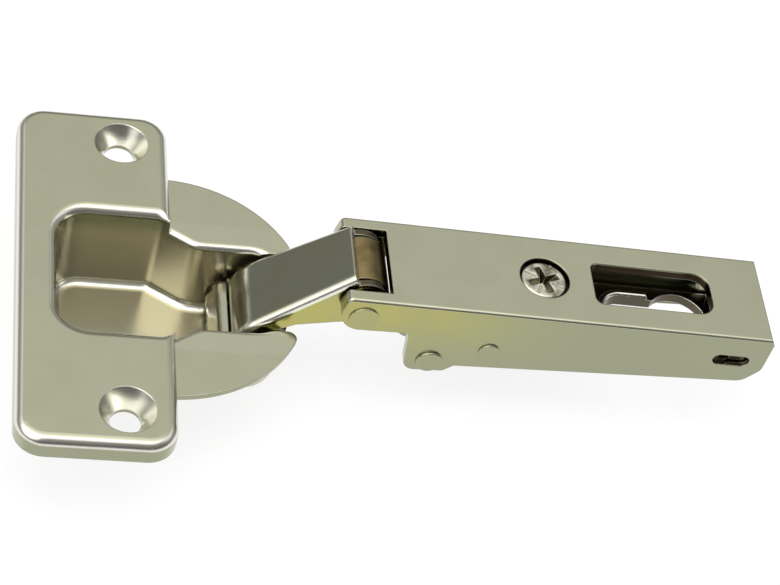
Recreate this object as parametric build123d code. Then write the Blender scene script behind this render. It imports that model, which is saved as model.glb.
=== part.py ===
from build123d import *
import os
from math import acos, atan2, cos, degrees, hypot, pi, radians, sin

# Concealed cup hinge, modelled open. Millimetres.
# X runs from the cup along the arm, Y along the pivot axes and Z out of the cup mouth.
# The origin is the centre of the cup bore on the door face.

# ---------------------------------------------------------------- driving dimensions
# Door side
BORE_D = 35.0                  # bore in the door
BORE_FIT = 0.1                 # the cup is this much smaller than the bore
RIM_LAP = 2.1                  # the rim disc covers this much round the bore
RIM_D = BORE_D + 2 * RIM_LAP
RIM_T = 1.1
RIM_EDGE = 0.5                 # rounding under the edge of the rim
HORN_R = 1.2                   # corners of the rim at the gap
SHEET = 1.1                    # sheet of the cup
POCKET_FLOOR = -11.0           # inside floor of the cup
POCKET_DRAFT = 3.0             # degrees
FLANGE_X0 = -20.6
FLANGE_X1 = 0.7
FLANGE_LENGTH = 60.0
FLANGE_H = 3.3                 # flange face above the door face
FLANGE_CORNER = 4.0
FLANGE_EDGE = 1.5              # rounding of the turned-down edge
HOLE_PITCH = 48.0
HOLE_X = -6.0
HOLE_D = 4.2
SINK_D = 7.6
BROAD_X0 = -15.0               # inside of the broad half of the cup
BROAD_HALF = 10.6
SHOULDER_X0 = -0.8
SHOULDER_X1 = 4.4
NARROW_HALF = 7.3
NARROW_X1 = BORE_D / 2 - 1.4   # inside of the far end
BROAD_R = 4.4                  # upright corners of the pocket
SHOULDER_R = 2.6
THROAT_R = 3.6
NARROW_R = 4.2
NOTCH_Z = -0.45                # foot of the gap in the rim where the links leave
NOTCH_X = NARROW_X1 - 3.5
LEVER_NOTCH_Z = -2.3           # foot of the deeper gap for the inner link
LEVER_GAP = 1.6                # free space on each side of it there
LIP_R = 1.4                    # rounded mouth of the cup in the flange
RIM_LIP_R = 0.9                # and in the rim
FLOOR_R = 1.3

# Pivots in X and Z, open position
CUP_OUTER = (NARROW_X1 - 6.86, POCKET_FLOOR + 2.6)          # outer link in the cup
CUP_INNER = (CUP_OUTER[0] + 3.18, CUP_OUTER[1] + 2.66)      # inner link in the cup
ARM_OUTER = (CUP_OUTER[0] + 16.83, CUP_OUTER[1] + 14.12)    # outer link in the arm
PIVOT_STEP = (10.89, -7.93)    # from there to the inner link's pivot in the arm
ARM_INNER = (ARM_OUTER[0] + PIVOT_STEP[0], ARM_OUTER[1] + PIVOT_STEP[1])
ARM_TILT = 2.1                 # degrees, rear end lower
LUG_PIN = (PIVOT_STEP[0] * cos(radians(ARM_TILT)) - PIVOT_STEP[1] * sin(radians(ARM_TILT)),
           PIVOT_STEP[0] * sin(radians(ARM_TILT)) + PIVOT_STEP[1] * cos(radians(ARM_TILT)))

CUP_PIN_R = 1.3
CUP_PIN_HALF = 8.3
ARM_PIN_R = 1.5
PIN_FIT = 0.05                 # radial running clearance on a pin
NOSE_HEAD_R = 2.1
NOSE_HEAD_T = 0.25
LUG_HEAD_R = 1.9
LUG_HEAD_T = 0.4
GAP = 0.25                     # free gap between parts that pass each other

# Widths at the arm pivot
ARM_HALF = 7.7
ARM_T = 1.5
MOUTH_STEP = 0.45              # the mouth's sides stand in this much from the cheeks
LINK_SIDE = 0.65               # room for a washer on each side of the link in the mouth
MOUTH_HALF = ARM_HALF - ARM_T - MOUTH_STEP

# Outer link, a folded channel
LINK_T = 1.0
LINK_HALF_CUP = 6.15           # half width at the cup pivot
LINK_HALF_ARM = MOUTH_HALF - LINK_SIDE         # and at the arm pivot
LINK_EYE_CUP = 2.1
LINK_EYE_ARM = 3.85
LINK_BEND = 1.1
LINK_FLAT = (2.94, 9.24)       # the web's upper face is flat from here, seen from the cup pivot
LINK_LIP = (-1.89, 4.88)       # to here, seen from the arm pivot
LINK_CURL = (0.3, 4.6)         # end of the curled web, from the cup pivot
LINK_NECK = (-0.9, 1.79)       # back of the cheek, from the cup pivot
SEAM = 0.25                    # open seam between the curled web and the rolled end
SEAM_FOOT = 3.2                # its foot above the cup pivot
ROLL_TOP = -1.15               # back of the rolled end at its top, from the cup pivot
ROLL_FOOT = (-2.13, 1.3)       # and at its foot
ROLL_R = 1.2
LINK_TIP = (-1.26, 4.1)        # inner corner of the web's end, from the arm pivot
BELLY_CUP = ((2.06, 0.8), (1.26, 3.4), (3.06, 5.9), (5.36, 7.9), (8.46, 9.4))   # cheek's lower edge
BELLY_ARM = ((-3.07, -3.97), (-1.17, -3.72))
CUP_SLEEVE_R = 2.0
ARM_SLEEVE_R = LINK_EYE_ARM
CUP_WASHER_R = 1.8
ARM_WASHER_R = 2.9
WASHER_PLAY = 0.05

# Inner link, a cranked lever
LEVER_HALF = 1.8
LEVER_EYE_R = 1.9
LEVER_EYE_HALF = 4.2
NECK_BACK = ((-1.22, 1.44), (0.58, 2.34), (1.33, 3.84), (1.28, 5.14), (2.98, 6.64), (5.38, 8.34),
             (7.58, 8.94), (9.98, 8.74))                    # edges of the crank, from the cup pivot
NECK_FRONT = ((4.88, 6.09), (3.08, 3.74), (2.98, 1.54), (1.78, 0.74))
BEAM_BACK = ((-12.76, 4.1), (-10.86, 3.8), (-8.46, 3.51), (-4.96, 2.71))   # from the arm pivot
BEAM_FRONT = ((-4.96, -1.0), (-12.96, 1.71), (-14.46, 2.56))
LEVER_END_R = 2.6
SLOT_RUN = (-1.6, 0.42)        # far end of the lever's slot from the arm's inner pivot
SLOT_PLAY = 0.35

# Arm, a folded channel. U runs along it and W across it, from the outer pivot
ARM_TOP = 3.45                 # outer face of the web
ARM_BEND = 0.5
NOSE_FRONT = -3.15
NOSE_LOW = -2.55               # lower edge of the nose
NOSE_R = 3.0                   # round that joins them
NOSE_LEAN = (0.4, 1.45)        # above this W the front edge leans back by this much
NOSE_CORNER = 0.8
ARM_REAR = 58.6
TAIL_EDGE = ((0.5, 2.6), (0.5, -2.9), (-1.6, -5.55))          # corners, U from the rear end and W
TAIL_ROUND = (0.4, 1.6, 2.2)   # and their radii
LUG_EDGE = ((3.73, -0.57), (2.43, -1.87), (-3.27, -2.22), (-4.27, 5.33))     # from the lug's pin
LUG_ROUND = (0.8, 1.0, 1.7, 0.7)
MOUTH_END = 3.5                # gap in the web over the outer pivot
WINDOW_R_FRONT = 1.2
WINDOW_R_REAR = 2.4
EAR_SLOT = (ARM_REAR - 7.4, ARM_REAR - 1.9)
EAR_SLOT_W = -1.4
EAR_SLOT_H = 2.1

# Rivet of the closing spring, in the arm's U and W
SPRING_PIN = (LUG_PIN[0] + 7.83, LUG_PIN[1] + 3.1)
SPRING_PIN_R = 1.1
SPRING_HEAD_R = 1.5
SPRING_HEAD_T = 0.3

# Adjusting screw, window and adapter
ADAPTER_FRONT = SPRING_PIN[0] + SPRING_HEAD_R + 0.5
SCREW_U = ADAPTER_FRONT + 4.85
SCREW_HEAD_R = 3.45
SCREW_HEAD_T = 0.8
SCREW_SINK = 0.35              # the head lies this much below the web's face
SCREW_SINK_R = 3.65
SCREW_R = 2.1
SCREW_HOLE_R = 2.35
SCREW_TAPPED_R = 2.3
SCREW_LENGTH = 9.6
SCREW_EDGE_R = 0.6
SCREW_POINT = 0.5
RING_R = 3.2
RING_T = 0.7
RING_PLAY = 0.05
RECESS_W = 1.0                 # width of the cross
RECESS_R = 2.4
RECESS_FOOT_R = 0.9
RECESS_DEPTH = 2.4
RECESS_TURN = 20.0
TICK = (1.3, 2.9, 0.3, 0.2)    # marks between the arms of the cross: start, end, width, depth
WINDOW = (SCREW_U + 7.1, ARM_REAR - 7.9)
WINDOW_HALF = 3.8
ADAPTER_TOP = -2.2             # upper face of the adapter web
ADAPTER_T = 1.5
ADAPTER_BEND = 1.2
ADAPTER_HALF = ARM_HALF - ARM_T - GAP
ADAPTER_REAR = ARM_REAR - 0.8
ADAPTER_FOOT = (-6.9, -5.3)    # lower edge of the legs, front and rear
KEY_SLOT_HALF = 2.85
KEY_SLOT_FRONT = WINDOW[0] + 6.15
KEY_U = WINDOW[1] - 3.2
KEY_R = 4.45
KEY_LIP_H = 0.8
KEY_LIP_T = 1.1
KEY_LIP_GAP = 0.2
KEY_LIP_R = 0.5
EAR = (ADAPTER_REAR - 4.0, ADAPTER_REAR - 1.4)
EAR_FOOT = 1.0
EAR_REACH = ARM_HALF - 0.9

# Closing spring
WIRE_R = 0.4
COIL_R = 2.1                   # mean radius round the inner arm pin
COIL_PITCH = 0.86
COIL_TURNS = 2                 # whole turns on each side
COIL_SIDE = 1.08               # from a cheek of the arm to the middle of the outermost turn
COIL_Y = ARM_HALF - ARM_T - COIL_SIDE - COIL_TURNS * COIL_PITCH     # middle of the innermost turn
BRIDGE = (LUG_PIN[0] - 4.72, LUG_PIN[1] + 6.604)            # the leg that joins the two coils


# ---------------------------------------------------------------- helpers
def side(sketch, half):
    """A side profile in X and Z, extruded to both sides of the middle plane."""
    return extrude(Plane.XZ * sketch, amount=half, both=True)


def shape(*points):
    return make_face(Polyline(*points, close=True))


def disc(centre, radius):
    return Pos(*centre) * Circle(radius)


def rod(centre, radius, y0, y1):
    """A round bar along Y."""
    low = (Align.CENTER, Align.CENTER, Align.MIN)
    return Pos(centre[0], y0, centre[1]) * Rot(-90, 0, 0) * Cylinder(radius, y1 - y0, align=low)


def tube(centre, outer, inner, y0, y1):
    return rod(centre, outer, y0, y1) - rod(centre, inner, y0 - 1, y1 + 1)


def block(x0, x1, y0, y1, z0, z1):
    low = (Align.MIN, Align.MIN, Align.MIN)
    return Pos(x0, y0, z0) * Box(x1 - x0, y1 - y0, z1 - z0, align=low)


def upright(x, y, z0, z1, r0, r1=None):
    """A round bar or cone along Z from z0 to z1."""
    low = (Align.CENTER, Align.CENTER, Align.MIN)
    if r1 is None:
        return Pos(x, y, z0) * Cylinder(r0, z1 - z0, align=low)
    return Pos(x, y, z0) * Cone(r0, r1, z1 - z0, align=low)


def near(point, *steps):
    """Points at the given steps from a point."""
    return [(point[0] + step[0], point[1] + step[1]) for step in steps]


def on_arm(solid):
    return Pos(ARM_OUTER[0], 0, ARM_OUTER[1]) * Rot(0, ARM_TILT, 0) * solid


# ---------------------------------------------------------------- cup
def pocket_outline(grow):
    """Plan of the T-shaped pocket at the door face."""
    corners = [(BROAD_X0, -BROAD_HALF), (SHOULDER_X0, -BROAD_HALF), (SHOULDER_X1, -NARROW_HALF),
               (NARROW_X1, -NARROW_HALF), (NARROW_X1, NARROW_HALF), (SHOULDER_X1, NARROW_HALF),
               (SHOULDER_X0, BROAD_HALF), (BROAD_X0, BROAD_HALF)]
    half = [BROAD_R, SHOULDER_R, THROAT_R, NARROW_R]
    radii = half + half[::-1]
    plan = make_face(FilletPolyline(*corners, radius=radii, close=True))
    return offset(plan, amount=grow) if grow else plan


def pocket(grow, top, floor, floor_r):
    spread = top * sin(radians(POCKET_DRAFT))
    plan = Pos(0, 0, top) * offset(pocket_outline(grow), amount=spread)
    solid = extrude(plan, amount=top - floor, dir=(0, 0, -1), taper=POCKET_DRAFT)
    return fillet(solid.edges().group_by(Axis.Z)[0], floor_r)


def mouth(level, radius, x0, x1):
    """The pocket's rounded mouth in a plate whose face is at the given level."""
    plate = block(x0, x1, -BORE_D, BORE_D, level - 2 * radius, level)
    cut = plate - pocket(0, FLANGE_H, POCKET_FLOOR, FLOOR_R)
    top = cut.edges().group_by(Axis.Z)[-1]
    lips = [e for e in top if abs(e.center().Y) < BORE_D / 2 and x0 < e.center().X < x1 - GAP]
    return plate - fillet(lips, radius)


def make_cup():
    middle = (FLANGE_X0 + FLANGE_X1) / 2
    width = FLANGE_X1 - FLANGE_X0
    plan = Pos(middle, 0) * RectangleRounded(width, FLANGE_LENGTH, FLANGE_CORNER)
    tray = extrude(plan, amount=FLANGE_H)
    turned = [e for e in tray.edges().group_by(Axis.Z)[-1] if e.center().X < FLANGE_X1 - BORE_FIT]
    tray = fillet(turned, FLANGE_EDGE)
    hollow = extrude(offset(plan, amount=-SHEET), amount=FLANGE_H - SHEET)
    hollow = fillet(hollow.edges().group_by(Axis.Z)[-1], FLANGE_EDGE - SHEET)
    gap_half = NARROW_HALF - GAP
    plan = Circle(RIM_D / 2) - Pos(NOTCH_X + BORE_D / 2, 0) * Rectangle(BORE_D, 2 * gap_half)
    plan = fillet(plan.vertices().group_by(Axis.X)[-1], HORN_R)
    rim = extrude(plan, amount=RIM_T)
    rim = fillet([e for e in rim.edges().group_by(Axis.Z)[0] if e.center().X < NOTCH_X], RIM_EDGE)
    rim &= block(FLANGE_X1 - SHEET, RIM_D, -RIM_D, RIM_D, 0, RIM_T)
    skin = pocket(SHEET, FLANGE_H, POCKET_FLOOR - SHEET, FLOOR_R + SHEET)
    bore = upright(0, 0, POCKET_FLOOR - 2 * SHEET, 0, (BORE_D - BORE_FIT) / 2)
    under = skin & bore
    above = skin & block(-RIM_D, FLANGE_X1, -RIM_D, RIM_D, 0, FLANGE_H - SHEET / 2)
    collar = skin & block(FLANGE_X1 - SHEET, RIM_D / 2, -RIM_D, RIM_D, 0, RIM_T)
    cup = (tray - hollow) + rim + under + above + collar
    for y in (-HOLE_PITCH / 2, HOLE_PITCH / 2):
        foot = SHEET / 2
        cup += upright(HOLE_X, y, 0, FLANGE_H - SHEET / 2, HOLE_D / 2 + SHEET, SINK_D / 2 + SHEET)
        cup -= upright(HOLE_X, y, foot, FLANGE_H, HOLE_D / 2, SINK_D / 2)
        cup -= upright(HOLE_X, y, -SHEET, SHEET, HOLE_D / 2)
    cup -= pocket(0, FLANGE_H, POCKET_FLOOR, FLOOR_R)
    cup -= mouth(FLANGE_H, LIP_R, FLANGE_X0 + SHEET, FLANGE_X1)
    cup -= mouth(RIM_T, RIM_LIP_R, FLANGE_X1, RIM_D / 2 - SHEET)
    cup -= block(NOTCH_X, RIM_D, -gap_half, gap_half, NOTCH_Z, FLANGE_H)
    lever_half = LEVER_HALF + LEVER_GAP
    cup -= block(NOTCH_X, RIM_D, -lever_half, lever_half, LEVER_NOTCH_Z, FLANGE_H)
    for centre in (CUP_OUTER, CUP_INNER):
        cup -= rod(centre, CUP_PIN_R, -BORE_D, BORE_D)
    return cup


# ---------------------------------------------------------------- outer link
def link_half(x):
    slope = (LINK_HALF_ARM - LINK_HALF_CUP) / (ARM_OUTER[0] - CUP_OUTER[0])
    return LINK_HALF_CUP + slope * (x - CUP_OUTER[0])


def wedge(inset):
    """Plan of the tapering channel, set in from its outer faces."""
    x0, x1 = CUP_OUTER[0] - 2 * ARM_HALF, ARM_OUTER[0] + 2 * ARM_HALF
    h0, h1 = link_half(x0) - inset, link_half(x1) - inset
    plan = shape((x0, -h0), (x1, -h1), (x1, h1), (x0, h0))
    return extrude(plan, amount=BORE_D, both=True)


def below_web(inset):
    """Everything under the web's upper face, or under a surface set in from it."""
    flat, curl_end = near(CUP_OUTER, LINK_FLAT, LINK_CURL)
    lip = near(ARM_OUTER, LINK_LIP)[0]
    run = Vector(lip[0] - flat[0], lip[1] - flat[1]).normalized()
    far = (lip[0] + FLANGE_LENGTH * run.X, lip[1] + FLANGE_LENGTH * run.Y)
    foot = (curl_end[0], curl_end[1] - FLANGE_LENGTH)
    curl = TangentArc(flat, curl_end, tangent=(-run.X, -run.Y))
    rest = Polyline(curl_end, foot, (far[0], foot[1]), far, flat)
    face = make_face([curl, *rest.edges()])
    return side(offset(face, amount=-inset) if inset else face, 2 * LINK_HALF_CUP)


def rolled_end():
    """The web's end, rolled up behind the cup pivot as far as the open seam."""
    top, back, foot = LINK_CURL[1], ROLL_TOP, ROLL_FOOT
    inside = LINK_T / 2
    seam = LINK_CURL[0] - SEAM
    corners = near(CUP_OUTER, (seam, top), (back, top), foot, (LINK_T, foot[1]), (LINK_T, SEAM_FOOT),
                   (seam, SEAM_FOOT))
    radii = (0, ROLL_R, 0, 0, 0, 0)
    plan = make_face(FilletPolyline(*corners, radius=radii, close=True))
    solid = side(plan, 2 * LINK_HALF_CUP) & wedge(0)
    behind = CUP_OUTER[0] + seam
    skin = [f for f in solid.faces() if f.center().X < behind and abs(f.center().Y) < LINK_T]
    shell = [f for f in skin if f.normal_at().Z > PIN_FIT or f.normal_at().X < -PIN_FIT]
    solid = fillet([e for f in shell for e in f.edges() if abs(e.center().Y) > LINK_T], LINK_BEND)
    hollow = near(CUP_OUTER, (LINK_T + inside, top - LINK_T), (back + inside, top - LINK_T),
                  (foot[0] + LINK_T, foot[1] - inside), (LINK_T + inside, foot[1] - inside))
    return solid - (side(shape(*hollow), 2 * LINK_HALF_CUP) & wedge(LINK_T))


def make_outer_link():
    curl, neck = near(CUP_OUTER, LINK_CURL, LINK_NECK)
    lip, tip = near(ARM_OUTER, LINK_LIP, LINK_TIP)
    folded = below_web(0) & wedge(0)
    top = [f for f in folded.faces() if abs(f.center().Y) < LINK_T and f.normal_at().Z > PIN_FIT]
    folded = fillet([e for f in top for e in f.edges() if abs(e.center().Y) > LINK_T], LINK_BEND)
    belly = near(CUP_OUTER, *BELLY_CUP) + near(ARM_OUTER, *BELLY_ARM)
    cheek = shape(curl, neck, CUP_OUTER, *belly, ARM_OUTER, tip, lip)
    cheek += disc(CUP_OUTER, LINK_EYE_CUP) + disc(ARM_OUTER, LINK_EYE_ARM)
    crown = shape(curl, lip, (curl[0] - LINK_T, lip[1]))
    lower = block(-RIM_D, RIM_D, -RIM_D, RIM_D, curl[1] - RIM_D, curl[1])
    link = side(cheek + crown, 2 * LINK_HALF_CUP) & folded
    link += side(cheek, 2 * LINK_HALF_CUP) & wedge(0) & lower
    link -= below_web(LINK_T) & wedge(LINK_T)
    link -= lower & wedge(LINK_T)
    link += rolled_end()
    link -= block(curl[0] - SEAM, curl[0], -BORE_D, BORE_D, CUP_OUTER[1] + SEAM_FOOT, lip[1])
    link -= rod(CUP_OUTER, CUP_SLEEVE_R + SEAM, -BORE_D, BORE_D) & wedge(LINK_T)
    link -= rod(CUP_OUTER, CUP_PIN_R + PIN_FIT, -BORE_D, BORE_D)
    link -= rod(ARM_OUTER, ARM_PIN_R + PIN_FIT, -BORE_D, BORE_D)
    return link


def make_cup_sleeve():
    half = link_half(CUP_OUTER[0] + CUP_SLEEVE_R) - LINK_T - WASHER_PLAY
    return tube(CUP_OUTER, CUP_SLEEVE_R, CUP_PIN_R + PIN_FIT, -half, half)


def make_arm_sleeve():
    half = link_half(ARM_OUTER[0] + ARM_SLEEVE_R) - LINK_T - WASHER_PLAY
    return tube(ARM_OUTER, ARM_SLEEVE_R, ARM_PIN_R + PIN_FIT, -half, half)


def make_cup_washer(hand):
    inner = link_half(CUP_OUTER[0] - CUP_WASHER_R) + WASHER_PLAY
    outer = NARROW_HALF + POCKET_FLOOR * sin(radians(POCKET_DRAFT)) - 2 * WASHER_PLAY
    y0, y1 = sorted((hand * inner, hand * outer))
    return tube(CUP_OUTER, CUP_WASHER_R, CUP_PIN_R + PIN_FIT, y0, y1)


def make_arm_washer(hand):
    inner = link_half(ARM_OUTER[0] - ARM_WASHER_R) + WASHER_PLAY
    outer = MOUTH_HALF - WASHER_PLAY
    y0, y1 = sorted((hand * inner, hand * outer))
    return tube(ARM_OUTER, ARM_WASHER_R, ARM_PIN_R + PIN_FIT, y0, y1)


# ---------------------------------------------------------------- inner link
def lever_slot(radius):
    """An obround from the arm's inner pivot along the run of the lever's slot."""
    run = hypot(*SLOT_RUN)
    turn = degrees(atan2(SLOT_RUN[1], SLOT_RUN[0]))
    middle = (ARM_INNER[0] + SLOT_RUN[0] / 2, ARM_INNER[1] + SLOT_RUN[1] / 2)
    return Pos(*middle) * Rot(0, 0, turn) * SlotCenterToCenter(run, 2 * radius)


def make_inner_link():
    far = (ARM_INNER[0] + SLOT_RUN[0], ARM_INNER[1] + SLOT_RUN[1])
    back = near(CUP_INNER, *NECK_BACK) + near(ARM_INNER, *BEAM_BACK)
    front = near(ARM_INNER, *BEAM_FRONT) + near(CUP_INNER, *NECK_FRONT)
    profile = shape(*back, far, *front, CUP_INNER)
    profile += lever_slot(LEVER_END_R)
    lever = side(profile, LEVER_HALF)
    lever += rod(CUP_INNER, LEVER_EYE_R, -LEVER_EYE_HALF, LEVER_EYE_HALF)
    lever -= rod(CUP_INNER, CUP_PIN_R + PIN_FIT, -BORE_D, BORE_D)
    return lever - side(lever_slot(ARM_PIN_R + SLOT_PLAY), BORE_D)


# ---------------------------------------------------------------- arm
def make_arm():
    tail = near((ARM_REAR, 0), *TAIL_EDGE)
    lug = near(LUG_PIN, *LUG_EDGE)
    lean, lean_start = NOSE_LEAN
    corners = [(NOSE_FRONT + lean, ARM_TOP), (ARM_REAR, ARM_TOP), *tail, *lug, (NOSE_FRONT, NOSE_LOW),
               (NOSE_FRONT, lean_start)]
    radii = [NOSE_CORNER, 0, *TAIL_ROUND, *LUG_ROUND, NOSE_R, 0]
    profile = make_face(FilletPolyline(*corners, radius=radii, close=True))
    outer = side(profile, ARM_HALF)
    top = outer.faces().sort_by(Axis.Z)[-1]
    outer = fillet([e for e in top.edges() if abs(e.center().Y) > ARM_HALF - GAP], ARM_BEND)
    inner_half = ARM_HALF - ARM_T
    front, rear, above = 2 * NOSE_FRONT, ARM_REAR + ARM_T, ARM_TOP + ARM_T
    arm = outer - block(front, rear, -inner_half, inner_half, -BORE_D, ARM_TOP - ARM_T)
    arm -= block(front, MOUTH_END, -MOUTH_HALF, MOUTH_HALF, 0, above)
    seat = ARM_TOP - SCREW_SINK - SCREW_HEAD_T - RING_PLAY
    arm -= upright(SCREW_U, 0, seat, above, SCREW_SINK_R)
    arm -= upright(SCREW_U, 0, 0, above, SCREW_HOLE_R)
    corners = [(WINDOW[0], -WINDOW_HALF), (WINDOW[1], -WINDOW_HALF),
               (WINDOW[1], WINDOW_HALF), (WINDOW[0], WINDOW_HALF)]
    radii = [WINDOW_R_FRONT, WINDOW_R_REAR, WINDOW_R_REAR, WINDOW_R_FRONT]
    arm -= extrude(make_face(FilletPolyline(*corners, radius=radii, close=True)), amount=above)
    middle, length = (EAR_SLOT[0] + EAR_SLOT[1]) / 2, EAR_SLOT[1] - EAR_SLOT[0]
    slot = Pos(middle, EAR_SLOT_W) * SlotOverall(length, EAR_SLOT_H)
    arm -= side(slot, BORE_D)
    arm -= rod((0, 0), ARM_PIN_R, -BORE_D, BORE_D)
    arm -= rod(LUG_PIN, ARM_PIN_R, -BORE_D, BORE_D)
    arm -= rod(SPRING_PIN, SPRING_PIN_R, -BORE_D, BORE_D)
    return on_arm(arm)


def headed_pin(centre, radius, head_r, head_t):
    pin = rod(centre, radius, -ARM_HALF, ARM_HALF)
    for y in (-ARM_HALF - head_t, ARM_HALF):
        pin += rod(centre, head_r, y, y + head_t)
    round_edges = pin.edges().filter_by(GeomType.CIRCLE)
    ends = [e for e in round_edges if abs(e.center().Y) > ARM_HALF + head_t / 2]
    return on_arm(fillet(ends, head_t / 2))


# ---------------------------------------------------------------- adapter and screw
def make_adapter():
    web_low = ADAPTER_TOP - ADAPTER_T
    leg_in = ADAPTER_HALF - ADAPTER_T
    ear_top = EAR_SLOT_W + ADAPTER_T / 2
    profile = shape((ADAPTER_FRONT, ADAPTER_TOP), (ADAPTER_REAR, ADAPTER_TOP),
                    (ADAPTER_REAR, ADAPTER_FOOT[1]), (ADAPTER_FRONT, ADAPTER_FOOT[0]))
    outer = side(profile, ADAPTER_HALF)
    top = outer.faces().sort_by(Axis.Z)[-1]
    outer = fillet([e for e in top.edges() if abs(e.center().Y) > ADAPTER_HALF - GAP], ADAPTER_BEND)
    hollow = block(ADAPTER_FRONT - ADAPTER_T, ADAPTER_REAR + ADAPTER_T, -leg_in, leg_in, -BORE_D, web_low)
    plate = outer - hollow
    gap_front = KEY_SLOT_FRONT - KEY_SLOT_HALF - KEY_LIP_T    # the legs are cut away beside the keyhole
    plate -= block(gap_front, KEY_U + KEY_R, -BORE_D, BORE_D, -BORE_D, web_low)
    for y0, y1 in ((-ADAPTER_HALF, -leg_in), (leg_in, ADAPTER_HALF)):
        plate += block(EAR[0] - EAR_FOOT, EAR[1] + EAR_FOOT, y0, y1, web_low, ear_top)
    ear = Pos((EAR[0] + EAR[1]) / 2, EAR_SLOT_W) * SlotOverall(EAR[1] - EAR[0], ADAPTER_T)
    plate += side(ear, EAR_REACH) - side(ear, leg_in)
    slot_length = KEY_U - KEY_SLOT_FRONT
    slot = Pos((KEY_U + KEY_SLOT_FRONT) / 2, 0) * Rectangle(slot_length, 2 * KEY_SLOT_HALF)
    slot += Pos(KEY_SLOT_FRONT, 0) * Circle(KEY_SLOT_HALF)
    lip_length = KEY_U - KEY_R + KEY_LIP_GAP - ADAPTER_FRONT
    front_half = Pos(ADAPTER_FRONT + lip_length / 2, 0) * Rectangle(lip_length, BORE_D)
    lip = offset(slot, amount=KEY_LIP_T) & front_half
    collar = extrude(lip - slot, amount=ADAPTER_T + KEY_LIP_H)
    plate += Pos(0, 0, web_low) * fillet(collar.edges().group_by(Axis.Z)[-1], KEY_LIP_R)
    keyhole = slot + Pos(KEY_U, 0) * Circle(KEY_R)
    plate -= Pos(0, 0, -BORE_D) * extrude(keyhole, amount=2 * BORE_D)
    plate -= upright(SCREW_U, 0, -BORE_D, 0, SCREW_TAPPED_R)
    return on_arm(plate)


def make_screw():
    top = ARM_TOP - SCREW_SINK
    screw = upright(SCREW_U, 0, top - SCREW_HEAD_T, top, SCREW_HEAD_R)
    screw += upright(SCREW_U, 0, top - SCREW_LENGTH, top, SCREW_R)
    round_edges = screw.edges().filter_by(GeomType.CIRCLE)
    screw = fillet(round_edges.sort_by(Axis.Z)[-1], SCREW_EDGE_R)
    round_edges = screw.edges().filter_by(GeomType.CIRCLE)
    screw = chamfer(round_edges.sort_by(Axis.Z)[0], SCREW_POINT)
    pit = upright(SCREW_U, 0, top - RECESS_DEPTH, top, RECESS_FOOT_R, RECESS_R)
    centre = Pos(SCREW_U, 0, top) * Rot(0, 0, RECESS_TURN)
    screw -= centre * Box(2 * RECESS_R, RECESS_W, 2 * RECESS_DEPTH) & pit
    screw -= centre * Box(RECESS_W, 2 * RECESS_R, 2 * RECESS_DEPTH) & pit
    tick_start, tick_end, tick_w, tick_depth = TICK
    for turn in (45, 135, 225, 315):
        mark = Box(tick_end - tick_start, tick_w, 2 * tick_depth)
        screw -= centre * Rot(0, 0, turn) * Pos((tick_start + tick_end) / 2, 0) * mark
    return on_arm(screw)


def make_ring():
    top = ARM_TOP - ARM_T - RING_PLAY
    ring = upright(SCREW_U, 0, top - RING_T, top, RING_R) - upright(SCREW_U, 0, 0, ARM_TOP, SCREW_R)
    return on_arm(ring)


# ---------------------------------------------------------------- closing spring
def touch_angle(centre, target, hand):
    """Angle on the coil where a straight leg towards the target leaves it."""
    du, dw = target[0] - centre[0], target[1] - centre[1]
    spread = acos(COIL_R / hypot(du, dw))
    return atan2(dw, du) + hand * spread


def coil_point(angle, y):
    centre = LUG_PIN
    return Vector(centre[0] + COIL_R * cos(angle), y, centre[1] + COIL_R * sin(angle))


def bar(a, b):
    a, b = Vector(*a), Vector(*b)
    path = Line(a, b)
    return sweep(Plane(origin=a, z_dir=b - a) * Circle(WIRE_R), path=path)


def make_spring():
    centre = LUG_PIN
    outer_target = (SPRING_PIN[0] + SPRING_PIN_R, SPRING_PIN[1] - SPRING_PIN_R - WIRE_R - GAP)
    a_in = touch_angle(centre, BRIDGE, -1)
    a_out = touch_angle(centre, outer_target, 1)
    turns = COIL_TURNS + ((a_out - a_in) % (2 * pi)) / (2 * pi)
    y_out = COIL_Y + turns * COIL_PITCH
    start = Plane(origin=(centre[0], COIL_Y, centre[1]), x_dir=(cos(a_in), 0, sin(a_in)), z_dir=(0, 1, 0))
    helix = start * Helix(COIL_PITCH, turns * COIL_PITCH, COIL_R, lefthand=True)
    begin = coil_point(a_in, COIL_Y)
    wire = sweep(Plane(origin=begin, z_dir=helix % 0) * Circle(WIRE_R), path=helix)
    bend = (BRIDGE[0], COIL_Y, BRIDGE[1])
    wire += bar(begin, bend) + Pos(*bend) * Sphere(WIRE_R) + bar(bend, (BRIDGE[0], 0, BRIDGE[1]))
    finish = coil_point(a_out, y_out)
    wire += bar(finish, (outer_target[0], y_out, outer_target[1])) + Pos(*begin) * Sphere(WIRE_R)
    wire += Pos(*finish) * Sphere(WIRE_R)
    return on_arm(wire + mirror(wire, Plane.XZ))


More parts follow.
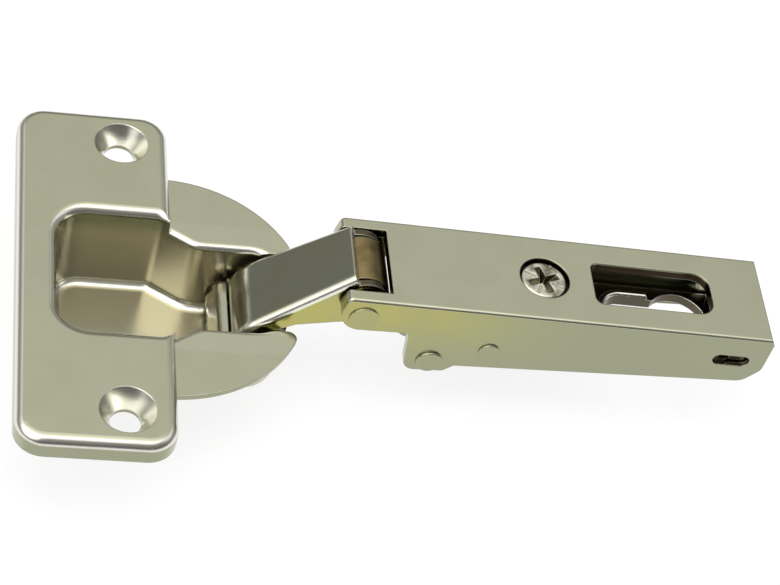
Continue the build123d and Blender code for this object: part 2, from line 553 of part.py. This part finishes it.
NODES = {
    "cup": make_cup,
    "outer_link": make_outer_link,
    "inner_link": make_inner_link,
    "hinge_arm": make_arm,
    "adapter_plate": make_adapter,
    "adjusting_screw": make_screw,
    "screw_ring": make_ring,
    "cup_pin_outer": lambda: rod(CUP_OUTER, CUP_PIN_R, -CUP_PIN_HALF, CUP_PIN_HALF),
    "cup_pin_inner": lambda: rod(CUP_INNER, CUP_PIN_R, -CUP_PIN_HALF, CUP_PIN_HALF),
    "arm_pin_outer": lambda: headed_pin((0, 0), ARM_PIN_R, NOSE_HEAD_R, NOSE_HEAD_T),
    "arm_pin_inner": lambda: headed_pin(LUG_PIN, ARM_PIN_R, LUG_HEAD_R, LUG_HEAD_T),
    "spring_pin": lambda: headed_pin(SPRING_PIN, SPRING_PIN_R, SPRING_HEAD_R, SPRING_HEAD_T),
    "cup_sleeve": make_cup_sleeve,
    "arm_sleeve": make_arm_sleeve,
    "cup_washer_left": lambda: make_cup_washer(-1),
    "cup_washer_right": lambda: make_cup_washer(1),
    "arm_washer_left": lambda: make_arm_washer(-1),
    "arm_washer_right": lambda: make_arm_washer(1),
    "closing_spring": make_spring,
}


def main():
    os.makedirs("parts", exist_ok=True)
    for name, make in NODES.items():
        solid = make()
        export_step(solid, f"parts/{name}.step")
        size = solid.bounding_box().size
        print(f"{name}: {solid.volume:.1f} mm3, {size.X:.1f} x {size.Y:.1f} x {size.Z:.1f} mm")


if __name__ == "__main__":
    main()
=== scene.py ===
import bpy
import numpy as np
from mathutils import Euler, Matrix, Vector


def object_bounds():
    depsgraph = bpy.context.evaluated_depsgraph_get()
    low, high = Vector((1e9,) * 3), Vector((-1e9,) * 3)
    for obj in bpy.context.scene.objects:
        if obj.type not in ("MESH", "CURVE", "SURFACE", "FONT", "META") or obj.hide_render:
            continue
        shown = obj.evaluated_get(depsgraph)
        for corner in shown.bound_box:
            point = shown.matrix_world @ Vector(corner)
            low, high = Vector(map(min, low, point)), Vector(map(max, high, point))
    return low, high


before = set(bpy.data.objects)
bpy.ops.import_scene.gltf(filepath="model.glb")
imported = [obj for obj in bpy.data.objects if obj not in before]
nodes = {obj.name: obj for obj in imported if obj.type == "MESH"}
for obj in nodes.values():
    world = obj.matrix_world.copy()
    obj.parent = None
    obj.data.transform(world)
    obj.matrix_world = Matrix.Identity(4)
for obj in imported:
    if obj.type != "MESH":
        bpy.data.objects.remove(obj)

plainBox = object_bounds()


# camera: its own frame is turned and moved from the door's frame, in degrees and millimetres
cameraView = {
    "turn": (-41.6654, 12.6062, -4.2827),
    "move": (-30.107, 2.636, -336.56),
    "face": 3.3,  # the flange face above the door's face
    "focal": 2474.2,  # pixels
    "width": 780,  # pixels
    "film": 36.0,
    "near": 0.01}  # metres


def setCamera(look):
    turn = Euler([np.radians(a) for a in look["turn"]]).to_matrix()
    place = -(turn.transposed() @ Vector(look["move"]))
    place.z += look["face"]
    camera = bpy.data.cameras.new("camera")
    camera.sensor_width = look["film"]
    camera.lens = look["focal"] * look["film"] / look["width"]
    camera.clip_start = look["near"]
    holder = bpy.data.objects.new("camera", camera)
    holder.matrix_world = turn.transposed().to_4x4()
    holder.location = place / 1000
    bpy.context.collection.objects.link(holder)
    bpy.context.scene.camera = holder


setCamera(cameraView)
print("camera set")


# shader maths: a Wire is one output socket, and + - * on it add Math nodes
class Wire:
    def __init__(self, sheet, socket):
        self.sheet = sheet
        self.socket = socket

    def maths(self, kind, *others):
        inputs = dict(enumerate((self, *others)))
        return self.sheet.put("ShaderNodeMath", {"operation": kind}, inputs)

    def __add__(self, other):
        return self.maths("ADD", other)

    def __radd__(self, other):
        return self.maths("ADD", other)

    def __sub__(self, other):
        return self.maths("SUBTRACT", other)

    def __rsub__(self, other):
        return self.sheet.put("ShaderNodeMath", {"operation": "SUBTRACT"}, {0: other, 1: self})

    def __mul__(self, other):
        return self.maths("MULTIPLY", other)

    def __rmul__(self, other):
        return self.maths("MULTIPLY", other)

    def __abs__(self):
        return self.maths("ABSOLUTE")

    def clamp(self):
        return self.maths("MINIMUM", 1.0).maths("MAXIMUM", 0.0)

    def step(self, low, high):  # 0 at low, 1 at high and smooth between, and low may be the larger one
        inputs = {"Value": self, "From Min": low, "From Max": high}
        return self.sheet.put("ShaderNodeMapRange", {"interpolation_type": "SMOOTHSTEP"}, inputs)


# a Sheet is the node tree of one material or world
class Sheet:
    def __init__(self, holder):
        self.holder = holder
        holder.use_nodes = True
        self.tree = holder.node_tree
        self.tree.nodes.clear()

    def put(self, kind, settings, inputs, output=0):
        node = self.tree.nodes.new(kind)
        for key, value in settings.items():
            setattr(node, key, value)
        for key, value in inputs.items():
            if isinstance(value, Wire):
                self.tree.links.new(value.socket, node.inputs[key])
            else:
                node.inputs[key].default_value = value
        return Wire(self, node.outputs[output]) if node.outputs else None

    def places(self):  # Object coordinates in millimetres
        here = self.put("ShaderNodeTexCoord", {}, {}, "Object")
        return self.put("ShaderNodeVectorMath", {"operation": "SCALE"}, {0: here, "Scale": 1000.0})

    def axes(self, vector):
        return [self.put("ShaderNodeSeparateXYZ", {}, {0: vector}, k) for k in range(3)]

    def dot(self, first, second):
        return self.put("ShaderNodeVectorMath", {"operation": "DOT_PRODUCT"}, {0: first, 1: second}, "Value")

    def noise(self, vector, scale, detail, stretch=None):
        if stretch:
            vector = self.put("ShaderNodeVectorMath", {"operation": "MULTIPLY"}, {0: vector, 1: stretch})
        return self.put("ShaderNodeTexNoise", {}, {"Vector": vector, "Scale": scale, "Detail": detail})

    def mix(self, share, first, second):
        return self.put("ShaderNodeMix", {"data_type": "RGBA"}, {0: share, 6: first, 7: second}, 2)

    def finish(self, shader, kind="ShaderNodeOutputMaterial"):
        self.put(kind, {}, {"Surface": shader})
        return self.holder


def rgb(red, green, blue):
    return (red, green, blue, 1.0)


# plated sheet: a run is the two ends of a smooth step over a place in millimetres or a noise, and a tilt is
# the same over one axis of the normal
pressedNickel = {
    "colour": rgb(0.405, 0.415, 0.300),
    "other": rgb(0.395, 0.398, 0.290),  # the second colour of the mottling
    "patch": 0.16,
    "patchDetail": 3.0,
    "patchRun": (0.35, 0.68),
    "front": rgb(0.325, 0.340, 0.228),  # walls towards -Y, painted darker as shade
    "frontTilt": (0.55, 0.9),
    "warmReflection": rgb(0.455, 0.43, 0.135),  # a painted warm reflection on those walls near the pivots
    "warmReflectionShare": 0.0,
    "warmRun": (30.0, 60.0),
    "warmDrop": (-6.0, 8.0),
    "warmPatch": 0.25,  # how much of it the mottling takes
    "bend": rgb(0.86, 0.85, 0.78),  # painted highlight on bends
    "bendShare": 0.0,
    "bendTilt": (0.15, 0.35),  # from the walls up
    "flatTilt": (0.98, 0.9),  # and from the flat down
    "curlHighlightShare": 0.0,  # what is curled towards -X gets the same painted highlight
    "curlTilt": (0.7, 0.85),
    "inner": rgb(0.56, 0.55, 0.44),  # painted light and shade on the inside
    "innerWall": rgb(0.58, 0.53, 0.40),  # and its walls towards -Y
    "innerTop": (2.0, -1.5),  # its height, on a slope along X
    "innerSlope": 0.0,
    "innerHalf": (12.0, 11.0),  # its half width
    "innerShadingShare": 0.0,
    "edge": rgb(0.70, 0.69, 0.60),  # painted highlight on edges
    "edgeRadius": 0.00025,  # metres
    "edgeSamples": 6,
    "edgeGain": 6.0,
    "edgeShare": 0.5,
    "grain": (0.25, 3.0, 3.0),  # rolling grain, long along the axis with the smallest value
    "grainDetail": 3.0,
    "grainDepth": 0.35,
    "grainShare": 0.6,  # of the roughness, and the specks have the rest
    "speck": 7.0,
    "speckDetail": 1.0,
    "speckDepth": 0.4,
    "rough": (0.16, 0.26),
    "bump": 0.05,
    "bumpDepth": 0.0003}  # metres
# the cup's pocket inside is painted lighter, and its bends take painted highlights
cupNickel = dict(pressedNickel, bendShare=0.8, innerShadingShare=1.0)
armNickel = dict(
    pressedNickel, grain=(0.12, 4.0, 4.0), grainDepth=0.5, warmReflectionShare=0.85, bendShare=0.25, edgeShare=0.3,
    # painted shade inside the arm
    inner=rgb(0.035, 0.026, 0.014), innerWall=rgb(0.03, 0.02, 0.01), innerShadingShare=1.0,
    innerTop=(9.95, 9.75), innerSlope=0.0367, innerHalf=(6.3, 6.0))
linkNickel = dict(
    pressedNickel, colour=rgb(0.40, 0.41, 0.33), grain=(1.0, 4.0, 1.0), rough=(0.14, 0.24), edgeRadius=0.0003,
    warmReflectionShare=1.0, warmRun=(60.0, 90.0), warmDrop=(-30.0, -20.0),
    bendShare=0.9, bendTilt=(0.05, 0.2), flatTilt=(0.74, 0.6), curlHighlightShare=0.9,
    # painted shade on the link's end at the arm
    inner=rgb(0.10, 0.085, 0.05), innerWall=rgb(0.10, 0.085, 0.05), innerShadingShare=1.0,
    innerTop=(40.2, 40.3), innerSlope=1.23)
leverNickel = dict(pressedNickel, colour=rgb(0.30, 0.28, 0.21), rough=(0.26, 0.4))
# the adapter plate sits in the arm's shade: its dark colours are painted shade, its bright bends and edges
# painted highlights
plateNickelShaded = dict(
    pressedNickel, colour=rgb(0.16, 0.14, 0.10), other=rgb(0.12, 0.10, 0.065), front=rgb(0.10, 0.085, 0.06),
    edge=rgb(0.9, 0.88, 0.8), edgeShare=0.9, bend=rgb(0.95, 0.93, 0.86), bendShare=1.0,
    grain=(0.2, 3.0, 3.0), rough=(0.18, 0.28))
turnedNickel = dict(pressedNickel, colour=rgb(0.46, 0.45, 0.34), grain=(3.0, 0.4, 3.0), warmReflectionShare=0.6)
# the screw's strong light and dark mottling is painted reflection
screwNickel = dict(
    turnedNickel, colour=rgb(0.62, 0.60, 0.50), other=rgb(0.17, 0.15, 0.11), patch=0.6, warmReflectionShare=0.0,
    rough=(0.12, 0.22), bump=0.2)
rollerNickel = dict(turnedNickel, colour=rgb(0.50, 0.52, 0.50), warmReflectionShare=0.0)
sleeveBrown = dict(
    pressedNickel, colour=rgb(0.25, 0.20, 0.09), other=rgb(0.14, 0.10, 0.045), front=rgb(0.18, 0.14, 0.06),
    edge=rgb(0.5, 0.44, 0.3), patch=0.3, grain=(3.0, 0.3, 3.0), grainDepth=1.0, rough=(0.22, 0.36), bump=0.12)
springSteel = dict(
    pressedNickel, colour=rgb(0.30, 0.29, 0.26), other=rgb(0.2, 0.18, 0.15),
    grain=(2.0, 2.0, 2.0), rough=(0.25, 0.42))


def plated(name, look):
    sheet = Sheet(bpy.data.materials.new(name))
    place = sheet.places()
    along, across, up = sheet.axes(place)
    patch = sheet.noise(place, look["patch"], look["patchDetail"]).step(*look["patchRun"])
    grain = sheet.noise(place, 1.0, look["grainDetail"], look["grain"])
    speck = sheet.noise(place, look["speck"], look["speckDetail"])
    soft = sheet.put("ShaderNodeBevel", {"samples": look["edgeSamples"]}, {"Radius": look["edgeRadius"]})
    flat = sheet.put("ShaderNodeNewGeometry", {}, {}, "Normal")
    rightward, backward, upward = sheet.axes(flat)

    edge = ((1.0 - sheet.dot(soft, flat)) * look["edgeGain"]).clamp()
    toFront = (backward * -1.0).step(*look["frontTilt"])
    bend = upward.step(*look["bendTilt"]) * upward.step(*look["flatTilt"]) * look["bendShare"]
    curlHighlight = (rightward * -1.0).step(*look["curlTilt"]) * look["curlHighlightShare"]
    shadingInside = (up + along * look["innerSlope"]).step(*look["innerTop"]) * abs(across).step(*look["innerHalf"])
    nearPivot = (1.0 - along.step(*look["warmRun"])) * up.step(*look["warmDrop"])
    uneven = 1.0 - look["warmPatch"] + patch * look["warmPatch"]
    warmReflection = toFront * nearPivot * uneven * look["warmReflectionShare"]

    colour = sheet.mix(patch, look["colour"], look["other"])
    # painted shade on the walls towards -Y
    colour = sheet.mix(toFront, colour, look["front"])
    # painted warm reflection on the walls towards -Y near the pivots
    colour = sheet.mix(warmReflection, colour, look["warmReflection"])
    # painted light and shade inside the hollows
    shadingLining = sheet.mix(toFront, look["inner"], look["innerWall"])
    colour = sheet.mix(shadingInside * look["innerShadingShare"], colour, shadingLining)
    # painted highlight on bends and curls
    colour = sheet.mix((bend + curlHighlight).clamp(), colour, look["bend"])
    # painted highlight on edges
    colour = sheet.mix(edge * look["edgeShare"], colour, look["edge"])
    low, high = look["rough"]
    share = look["grainShare"]
    rough = low + (grain * share + speck * (1.0 - share)) * (high - low)
    height = grain * look["grainDepth"] + speck * look["speckDepth"]
    normal = sheet.put("ShaderNodeBump", {}, {
        "Strength": look["bump"], "Distance": look["bumpDepth"], "Height": height, "Normal": soft})
    shader = sheet.put("ShaderNodeBsdfPrincipled", {}, {
        "Base Color": colour, "Metallic": 1.0, "Roughness": rough, "Normal": normal})
    return sheet.finish(shader)


turned = (
    "cup_pin_outer", "cup_pin_inner", "arm_pin_outer", "arm_pin_inner", "spring_pin", "screw_ring",
    "cup_washer_left", "cup_washer_right", "arm_washer_left", "arm_washer_right")
finishes = {
    "cupNickel": (cupNickel, ("cup",)),
    "armNickel": (armNickel, ("hinge_arm",)),
    "linkNickel": (linkNickel, ("outer_link",)),
    "leverNickel": (leverNickel, ("inner_link",)),
    "plateNickelShaded": (plateNickelShaded, ("adapter_plate",)),
    "turnedNickel": (turnedNickel, turned),
    "screwNickel": (screwNickel, ("adjusting_screw",)),
    "rollerNickel": (rollerNickel, ("cup_sleeve",)),
    "sleeveBrown": (sleeveBrown, ("arm_sleeve",)),
    "springSteel": (springSteel, ("closing_spring",))}
for name, (look, users) in finishes.items():
    material = plated(name, look)
    for user in users:
        for holder in nodes[user].material_slots:
            holder.material = material
print("materials on", sum(len(users) for look, users in finishes.values()), "nodes")


# floor, in metres: its lift shows it nearly white to camera and plating, and the rest takes the shadow
floorPaper = {
    "size": 3.0,
    "colour": rgb(0.95, 0.95, 0.95),
    "white": rgb(1, 1, 1),
    "lift": 0.87,
    "sink": 0.0002}  # below the part, so that they don't touch


def makeFloor(look, level):  # a flat square of three by three points
    half = look["size"] / 2
    u, v = np.meshgrid(np.linspace(-half, half, 3), np.linspace(-half, half, 3))
    points = np.stack([u.ravel(), v.ravel(), np.full(u.size, level - look["sink"])], 1)
    faces = [(0, 1, 4, 3), (1, 2, 5, 4), (3, 4, 7, 6), (4, 5, 8, 7)]
    mesh = bpy.data.meshes.new("floor")
    mesh.from_pydata(points.tolist(), [], faces)
    floor = bpy.data.objects.new("floor", mesh)
    bpy.context.collection.objects.link(floor)
    sheet = Sheet(bpy.data.materials.new("floorPaper"))
    plain = sheet.put("ShaderNodeBsdfDiffuse", {}, {"Color": look["colour"]})
    white = sheet.put("ShaderNodeEmission", {}, {"Color": look["white"], "Strength": 1.0})
    byCamera = sheet.put("ShaderNodeLightPath", {}, {}, "Is Camera Ray")
    byMirror = sheet.put("ShaderNodeLightPath", {}, {}, "Is Glossy Ray")
    share = (byCamera + byMirror) * look["lift"]
    paper = sheet.put("ShaderNodeMixShader", {}, {0: share, 1: plain, 2: white})
    mesh.materials.append(sheet.finish(paper))


# sky: light by direction, where a run is the two ends of a smooth step over one axis of the direction, or
# over its closeness to the spot
sky = {
    "colour": rgb(1.0, 0.99, 0.965),
    "low": 0.30,  # near the horizon
    "back": 0.98,  # and above the rise
    "rise": (0.38, 0.66),
    "front": 0.27,  # the dark front, darker near the horizon
    "frontLow": 0.14,
    "frontRise": (0.35, 0.6),
    "frontRun": (0.05, -0.45),
    "frontTop": (0.95, 0.75),
    "spot": (-0.62, -0.35, 0.70),  # a bright place at the front left
    "spotRun": (0.78, 0.93),
    "spotLight": 1.5,
    "top": 0.85,  # and a bright place overhead
    "topRun": (0.80, 0.94)}


def setSky(look):
    sheet = Sheet(bpy.data.worlds.new("studio"))
    towards = sheet.put("ShaderNodeTexCoord", {}, {}, "Generated")
    across, up = sheet.axes(towards)[1:]
    rise = look["low"] + up.step(*look["rise"]) * (look["back"] - look["low"])
    front = across.step(*look["frontRun"]) * up.step(*look["frontTop"])
    dark = look["frontLow"] + up.step(*look["frontRise"]) * (look["front"] - look["frontLow"])
    spot = sheet.dot(towards, look["spot"]).step(*look["spotRun"]) * look["spotLight"]
    top = up.step(*look["topRun"]) * look["top"]
    light = rise * (1.0 - front) + front * dark + spot + top
    shader = sheet.put("ShaderNodeBackground", {}, {"Color": look["colour"], "Strength": light})
    bpy.context.scene.world = sheet.finish(shader, "ShaderNodeOutputWorld")


# lamp, in metres and watts
overheadLamp = {"place": (0.03, -0.02, 0.6), "aim": (0.03, 0, 0), "size": (0.62, 0.46), "power": 2.1}


def setLamp(name, look):
    light = bpy.data.lights.new(name, "AREA")
    light.shape = "RECTANGLE"
    light.size, light.size_y = look["size"]
    light.energy = look["power"]
    place = Vector(look["place"])
    holder = bpy.data.objects.new(name, light)
    holder.visible_glossy = False  # the plating mirrors the sky alone
    holder.location = place
    holder.rotation_euler = (place - Vector(look["aim"])).to_track_quat("Z", "Y").to_euler()
    bpy.context.collection.objects.link(holder)


makeFloor(floorPaper, plainBox[0][2])
setSky(sky)
setLamp("overhead", overheadLamp)
bpy.context.scene.view_settings.view_transform = "Standard"
print("studio set")
